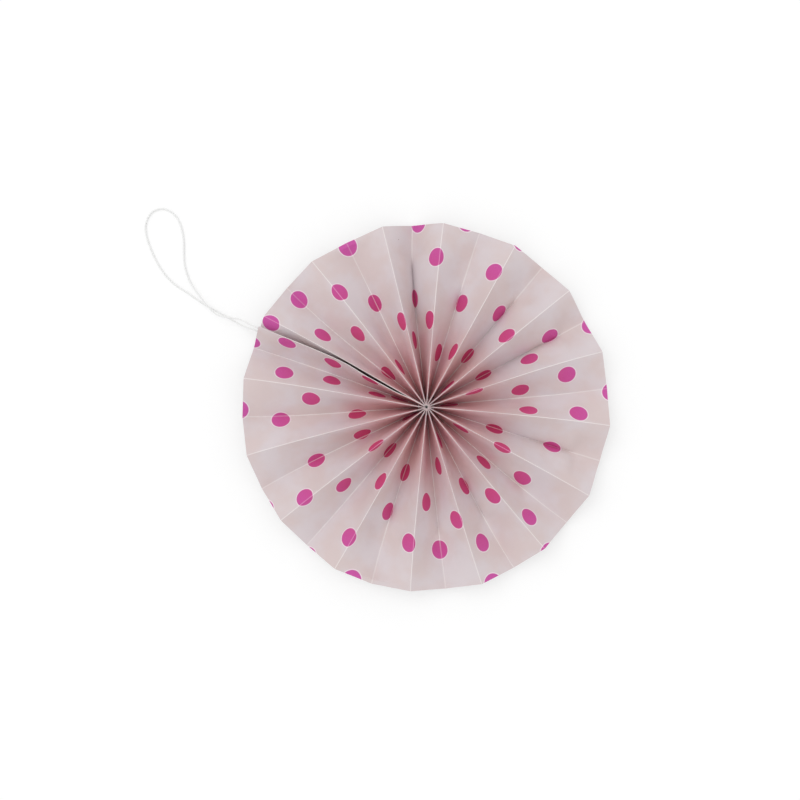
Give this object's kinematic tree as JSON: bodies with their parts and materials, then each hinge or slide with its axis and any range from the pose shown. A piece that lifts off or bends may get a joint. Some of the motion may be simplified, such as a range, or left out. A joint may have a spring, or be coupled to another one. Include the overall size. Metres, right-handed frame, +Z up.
{
  "type": "paper fan rosette",
  "caption": "Round pleated paper fan rosette in pale pink with magenta polka dots, closed at one taped seam, with a thin string loop to hang it by.",
  "frame": {"origin": "centre of the rosette, on the surface that its back folds rest on", "axes": "+Z up through the hub, out of the printed face; +Y is the top of the picture and the string loop leaves towards -X +Y"},
  "size_m": [0.2554, 0.2099, 0.021],
  "materials": {
    "printed_paper": "matt uncoated paper, pale greyish pink with magenta dots on the face",
    "tape": "matt double-sided tape",
    "thread": "fine white cotton thread",
    "string": "thin white twisted string"
  },
  "bodies": {
    "root": {"pleated_paper": "printed_paper", "seam_tape": "tape", "centre_tie": "thread", "hanging_loop": "string"}
  },
  "joints": []
}
